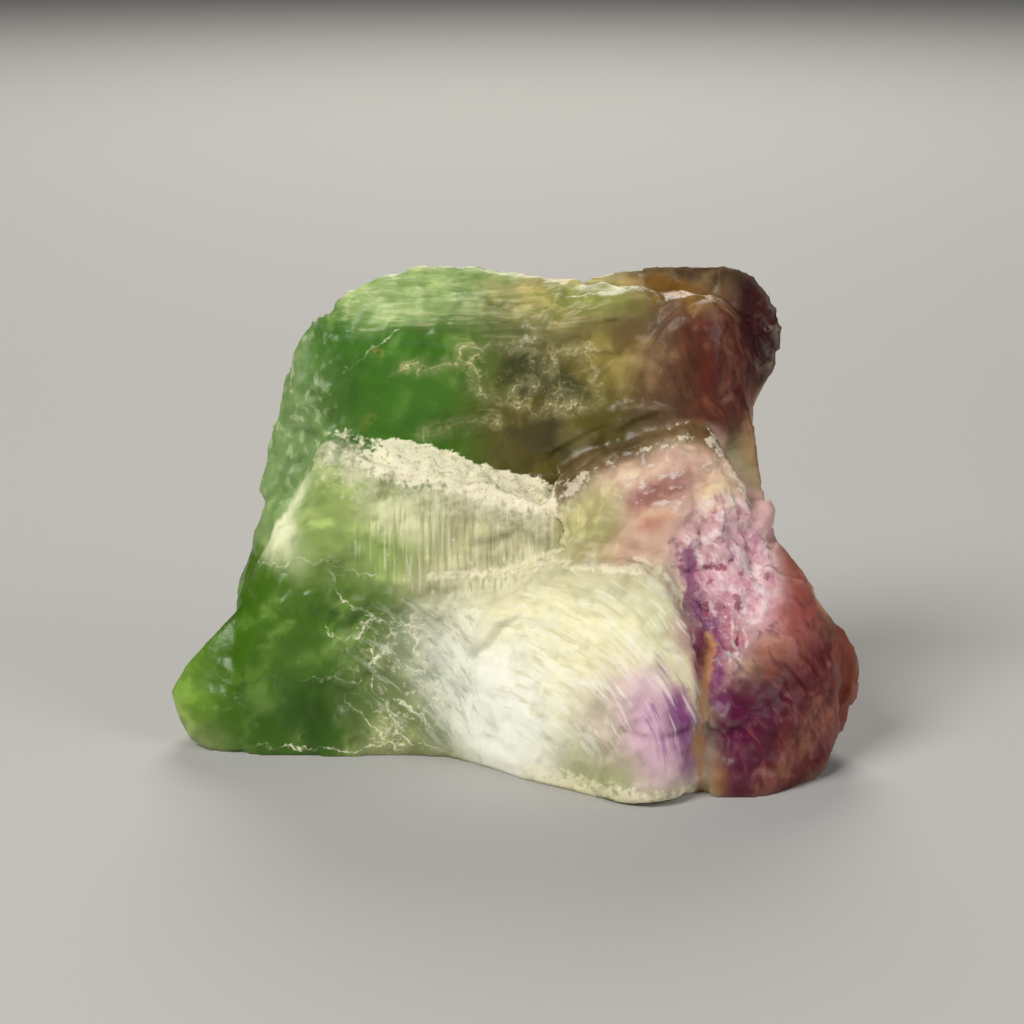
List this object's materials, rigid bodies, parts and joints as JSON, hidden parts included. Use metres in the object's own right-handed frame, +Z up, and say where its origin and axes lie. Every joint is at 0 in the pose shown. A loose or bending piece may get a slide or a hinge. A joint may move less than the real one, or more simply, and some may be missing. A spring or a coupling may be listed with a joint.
{
  "type": "rough fluorite",
  "caption": "Rough piece of fluorite broken from a vein, green to clear to purple, with a broken shelf across its face, that stands on a flat base.",
  "frame": {"origin": "middle of the stone's footprint box, on the surface it stands on", "axes": "+X to the viewer's right along the stone's length, +Y from the viewer towards the back, +Z up"},
  "size_m": [0.0654, 0.032, 0.0449],
  "materials": {
    "fluorite": "translucent, broken surface, glossy on cleavage faces and matt on the crust"
  },
  "bodies": {
    "root": {"fluorite": "fluorite"}
  },
  "joints": []
}
